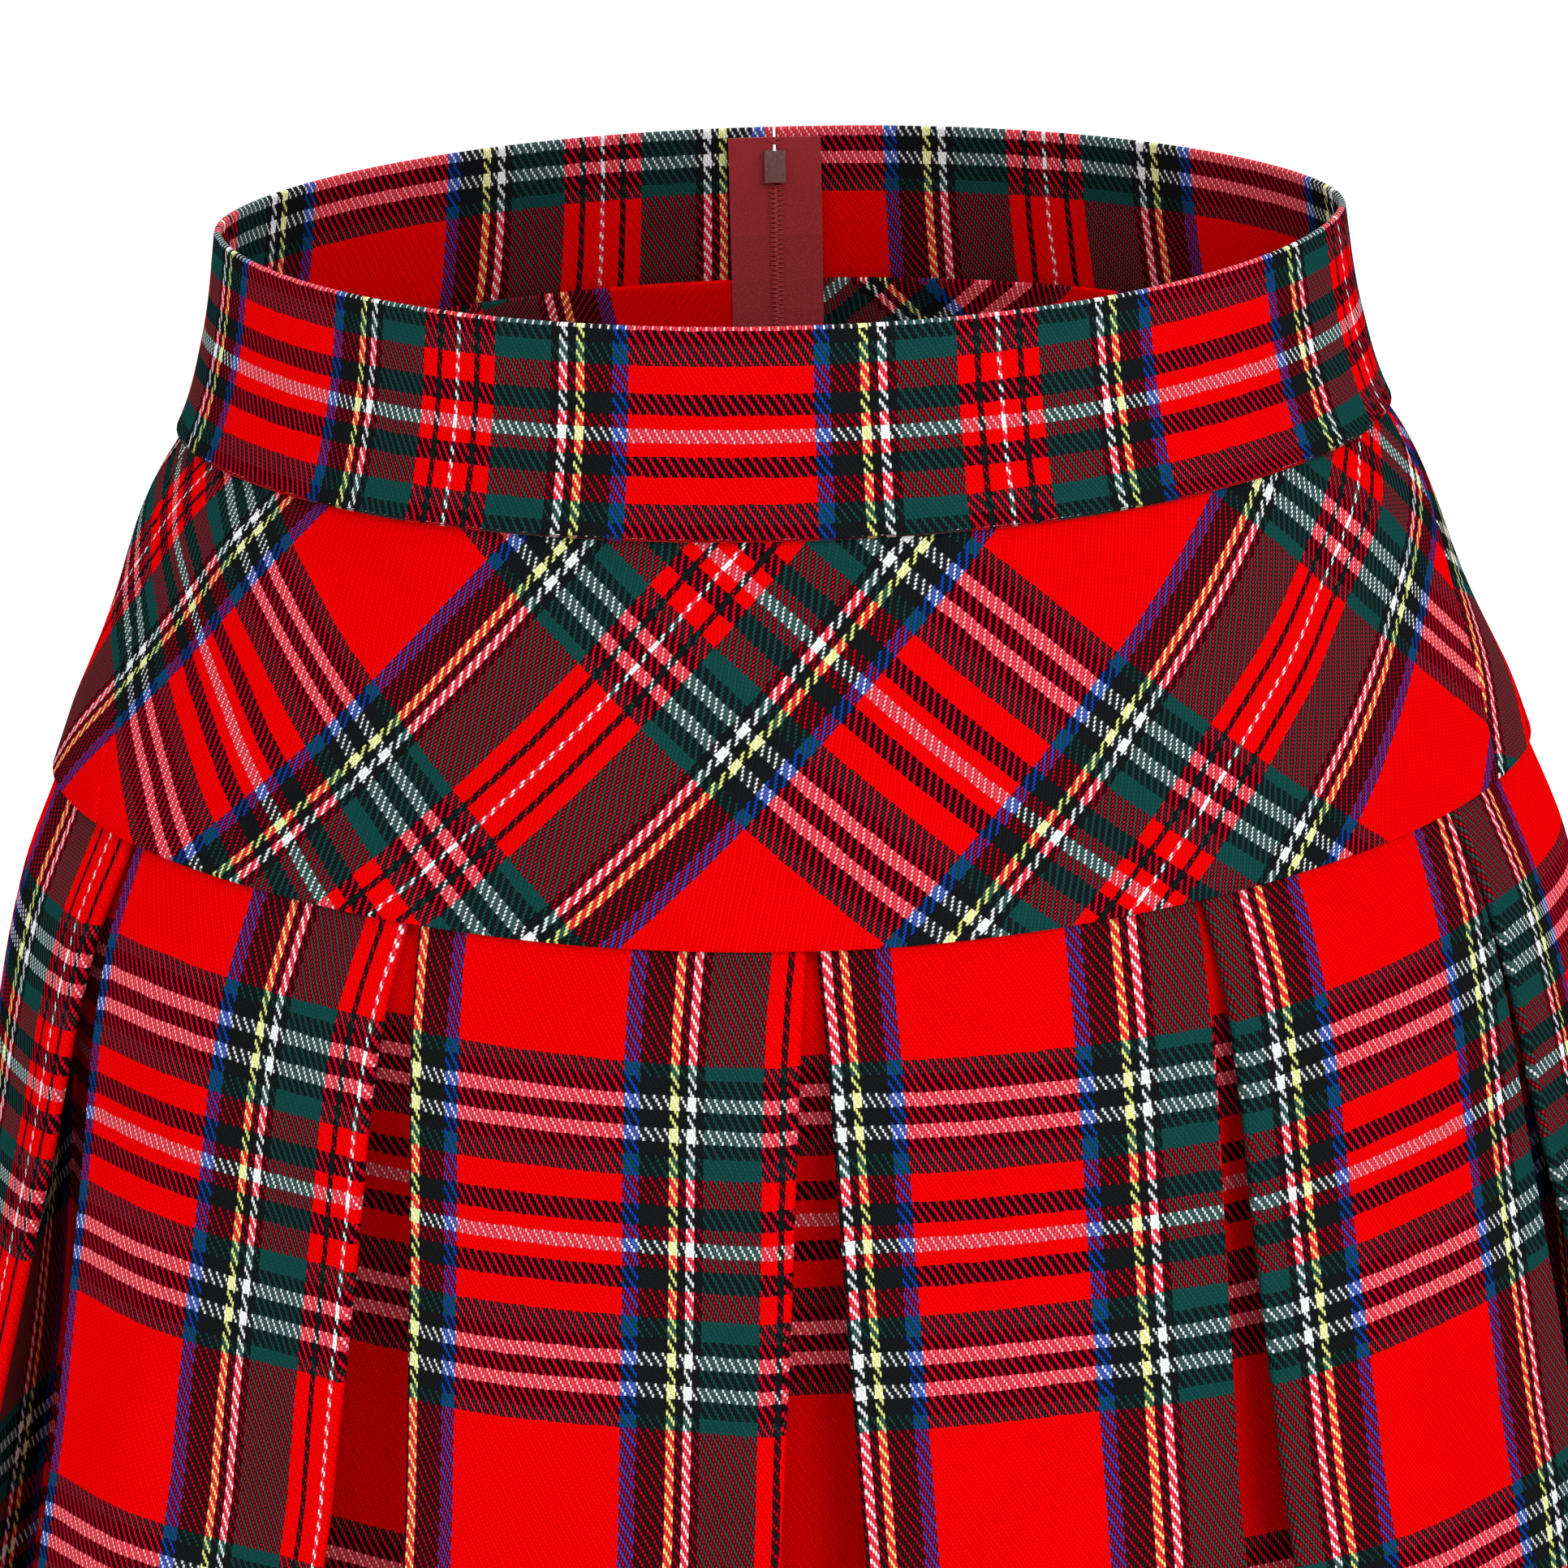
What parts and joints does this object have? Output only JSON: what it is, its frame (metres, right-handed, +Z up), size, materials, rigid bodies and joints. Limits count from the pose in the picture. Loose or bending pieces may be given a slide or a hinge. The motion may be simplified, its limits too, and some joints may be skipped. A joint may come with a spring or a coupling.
{
  "type": "pleated skirt",
  "caption": "Short tartan skirt as worn, with a straight waistband, bias hip yoke, inverted box pleats and a concealed back zip",
  "frame": {"origin": "middle of the waist opening, at the middle height of the waistband", "axes": "+Z up the wearer, +X to the wearer's left, the front centre on -Y and the zip on +Y"},
  "size_m": [0.484, 0.3341, 0.4289],
  "materials": {
    "wool_tartan": "matt 2/2 twill, red tartan with green, black, blue, yellow and white lines",
    "zip_tape": "matt woven tape",
    "zip_metal": "satin"
  },
  "bodies": {
    "skirt": {"waistband": "wool_tartan", "yoke_front": "wool_tartan", "yoke_back_left": "wool_tartan", "yoke_back_right": "wool_tartan", "skirt_front": "wool_tartan", "skirt_back_left": "wool_tartan", "skirt_back_right": "wool_tartan", "zip_tape_left": "zip_tape", "zip_tape_right": "zip_tape", "zip_slider": "zip_metal"},
    "pull": {"zip_pull": "zip_metal"}
  },
  "joints": [
    {"name": "pull_hinge", "type": "hinge", "parent": "skirt", "child": "pull", "pos_m": [0, 0.09112, 0.0155], "axis": [1, 0, 0], "range_deg": [0, 150]}
  ]
}
